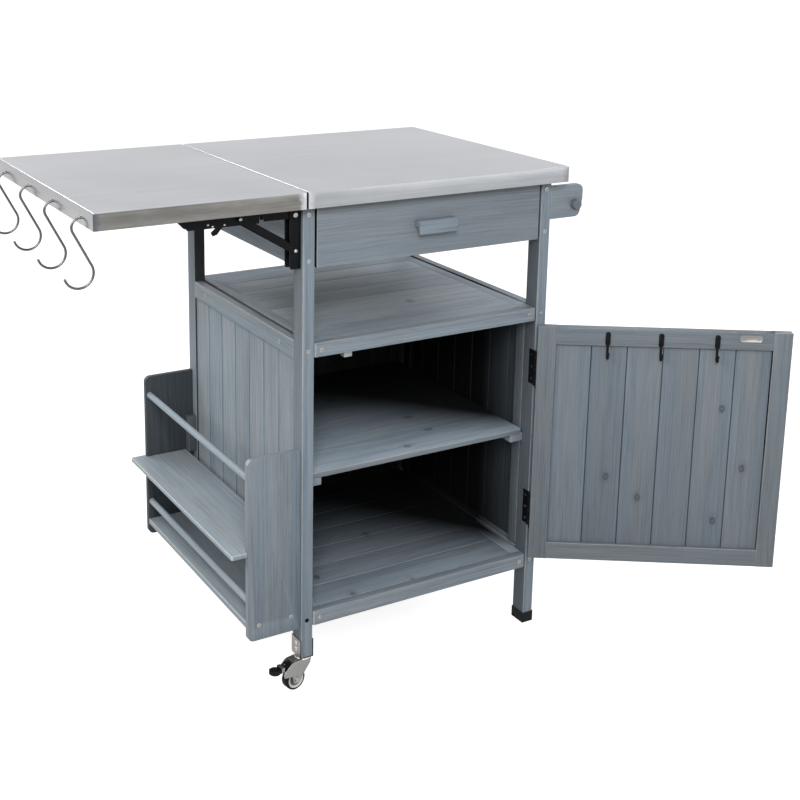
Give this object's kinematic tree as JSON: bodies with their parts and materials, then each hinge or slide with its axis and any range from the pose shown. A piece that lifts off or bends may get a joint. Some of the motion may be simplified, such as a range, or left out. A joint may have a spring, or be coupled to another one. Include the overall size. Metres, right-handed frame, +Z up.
{
  "type": "grill cart with storage",
  "caption": "Wooden grill cart with a steel worktop, a folding side leaf with hooks, a drawer, an open bay, a cupboard with a swinging door and a side rack, on casters and feet.",
  "frame": {"origin": "on the floor, under the middle of the bounding box as pictured: leaf up, door open", "axes": "+X to the user's right along the front, +Y to the back, +Z up"},
  "size_m": [1.2456, 0.7664, 0.89],
  "materials": {
    "stained_wood": "satin, grey-blue stain over grain",
    "steel_sheet": "fine brushed",
    "core_board": "raw board",
    "black_steel": "satin black coat",
    "zinc_steel": "bright zinc",
    "hook_wire": "polished",
    "foot_rubber": "matte",
    "tyre_rubber": "matte",
    "wheel_plastic": "moulded, light grey",
    "pedal_plastic": "moulded, black",
    "catch_plastic": "moulded"
  },
  "bodies": {
    "cart": {"leg_front_left": "stained_wood", "leg_front_right": "stained_wood", "leg_rear_left": "stained_wood", "leg_rear_right": "stained_wood", "worktop_skin": "steel_sheet", "worktop_core": "core_board", "aprons": "stained_wood", "drawer_runners": "stained_wood", "upper_rails": "stained_wood", "upper_shelf": "stained_wood", "lower_rails": "stained_wood", "bottom_shelf": "stained_wood", "left_panel": "stained_wood", "right_panel": "stained_wood", "back_panel": "stained_wood", "panel_battens": "stained_wood", "middle_shelf": "stained_wood", "shelf_cleats": "stained_wood", "handle_arms": "stained_wood", "handle_bar": "stained_wood", "rack_panels": "stained_wood", "rack_middle_shelf": "stained_wood", "rack_bottom_shelf": "stained_wood", "rack_dowels": "stained_wood", "rack_cleats": "stained_wood", "rubber_feet": "foot_rubber", "frame_fasteners": "zinc_steel", "bracket_channels": "black_steel", "door_catch": "catch_plastic", "leg_hinge_leaves": "black_steel", "caster_saddles": "zinc_steel"},
    "side_leaf": {"leaf_skin": "steel_sheet", "leaf_core": "core_board", "bracket_arms": "black_steel"},
    "brace_front": {"brace_front": "black_steel"},
    "brace_rear": {"brace_rear": "black_steel"},
    "lever_front": {"lever_front": "black_steel"},
    "lever_rear": {"lever_rear": "black_steel"},
    "drawer": {"drawer_front": "stained_wood", "drawer_sides": "stained_wood", "drawer_back": "stained_wood", "drawer_bottom": "core_board", "drawer_pull": "stained_wood"},
    "door": {"door_frame": "stained_wood", "door_planks": "stained_wood", "door_hooks": "black_steel", "door_hinge_leaves": "black_steel", "strike_plate": "zinc_steel", "door_pull": "stained_wood"},
    "hook_1": {"hook_1": "hook_wire"},
    "hook_2": {"hook_2": "hook_wire"},
    "hook_3": {"hook_3": "hook_wire"},
    "hook_4": {"hook_4": "hook_wire"},
    "caster_front": {"caster_fork_front": "zinc_steel"},
    "wheel_front": {"caster_wheel_front": "wheel_plastic", "caster_tyre_front": "tyre_rubber"},
    "pedal_front": {"caster_pedal_front": "pedal_plastic"},
    "caster_rear": {"caster_fork_rear": "zinc_steel"},
    "wheel_rear": {"caster_wheel_rear": "wheel_plastic", "caster_tyre_rear": "tyre_rubber"},
    "pedal_rear": {"caster_pedal_rear": "pedal_plastic"}
  },
  "joints": [
    {"name": "leaf_fold", "type": "hinge", "parent": "cart", "child": "side_leaf", "pos_m": [-0.24722, 0.12694, 0.847], "axis": [0, -1, 0], "range_deg": [0, 90]},
    {"name": "brace_swing_front", "type": "hinge", "parent": "cart", "child": "brace_front", "pos_m": [-0.24722, -0.09756, 0.788], "axis": [0, -1, 0], "range_deg": [0, 122]},
    {"name": "lever_release_front", "type": "hinge", "parent": "side_leaf", "child": "lever_front", "pos_m": [-0.37022, -0.09756, 0.843], "axis": [0, -1, 0], "range_deg": [-36, 0]},
    {"name": "brace_swing_rear", "type": "hinge", "parent": "cart", "child": "brace_rear", "pos_m": [-0.24722, 0.35144, 0.788], "axis": [0, -1, 0], "range_deg": [0, 122]},
    {"name": "lever_release_rear", "type": "hinge", "parent": "side_leaf", "child": "lever_rear", "pos_m": [-0.37022, 0.35144, 0.843], "axis": [0, -1, 0], "range_deg": [-36, 0]},
    {"name": "hook_swing_1", "type": "hinge", "parent": "side_leaf", "child": "hook_1", "pos_m": [-0.59262, -0.08206, 0.8571], "axis": [0, -1, 0], "range_deg": [-98, 0]},
    {"name": "hook_swing_2", "type": "hinge", "parent": "side_leaf", "child": "hook_2", "pos_m": [-0.59262, 0.05394, 0.8571], "axis": [0, -1, 0], "range_deg": [-98, 0]},
    {"name": "hook_swing_3", "type": "hinge", "parent": "side_leaf", "child": "hook_3", "pos_m": [-0.59262, 0.18994, 0.8571], "axis": [0, -1, 0], "range_deg": [-98, 0]},
    {"name": "hook_swing_4", "type": "hinge", "parent": "side_leaf", "child": "hook_4", "pos_m": [-0.59262, 0.32594, 0.8571], "axis": [0, -1, 0], "range_deg": [-98, 0]},
    {"name": "drawer_slide", "type": "slide", "parent": "cart", "child": "drawer", "axis": [0, -1, 0], "range_m": [0, 0.3]},
    {"name": "door_swing", "type": "hinge", "parent": "cart", "child": "door", "pos_m": [0.23928, -0.11856, 0.375], "axis": [0, 0, 1], "range_deg": [-147, 25]},
    {"name": "caster_swivel_front", "type": "hinge", "parent": "cart", "child": "caster_front", "pos_m": [-0.22622, -0.09756, 0.05], "axis": [0, 0, 1], "continuous": true},
    {"name": "wheel_roll_front", "type": "hinge", "parent": "caster_front", "child": "wheel_front", "pos_m": [-0.24592, -0.10103, 0.02], "axis": [0.1736, -0.9848, 0], "continuous": true},
    {"name": "brake_pedal_front", "type": "hinge", "parent": "caster_front", "child": "pedal_front", "pos_m": [-0.25577, -0.10277, 0.047], "axis": [0.1736, -0.9848, 0], "range_deg": [0, 12]},
    {"name": "caster_swivel_rear", "type": "hinge", "parent": "cart", "child": "caster_rear", "pos_m": [-0.22622, 0.35144, 0.05], "axis": [0, 0, 1], "continuous": true},
    {"name": "wheel_roll_rear", "type": "hinge", "parent": "caster_rear", "child": "wheel_rear", "pos_m": [-0.20743, 0.35828, 0.02], "axis": [-0.342, 0.9397, 0], "continuous": true},
    {"name": "brake_pedal_rear", "type": "hinge", "parent": "caster_rear", "child": "pedal_rear", "pos_m": [-0.19803, 0.3617, 0.047], "axis": [-0.342, 0.9397, 0], "range_deg": [0, 12]}
  ],
  "couplings": [
    {"joint": "brace_swing_front", "follows": "leaf_fold", "ratio": 1.3478},
    {"joint": "lever_release_front", "follows": "leaf_fold", "ratio": -0.39},
    {"joint": "brace_swing_rear", "follows": "leaf_fold", "ratio": 1.3478},
    {"joint": "lever_release_rear", "follows": "leaf_fold", "ratio": -0.39},
    {"joint": "hook_swing_1", "follows": "leaf_fold", "ratio": -1.05},
    {"joint": "hook_swing_2", "follows": "leaf_fold", "ratio": -1.05},
    {"joint": "hook_swing_3", "follows": "leaf_fold", "ratio": -1.05},
    {"joint": "hook_swing_4", "follows": "leaf_fold", "ratio": -1.05}
  ]
}
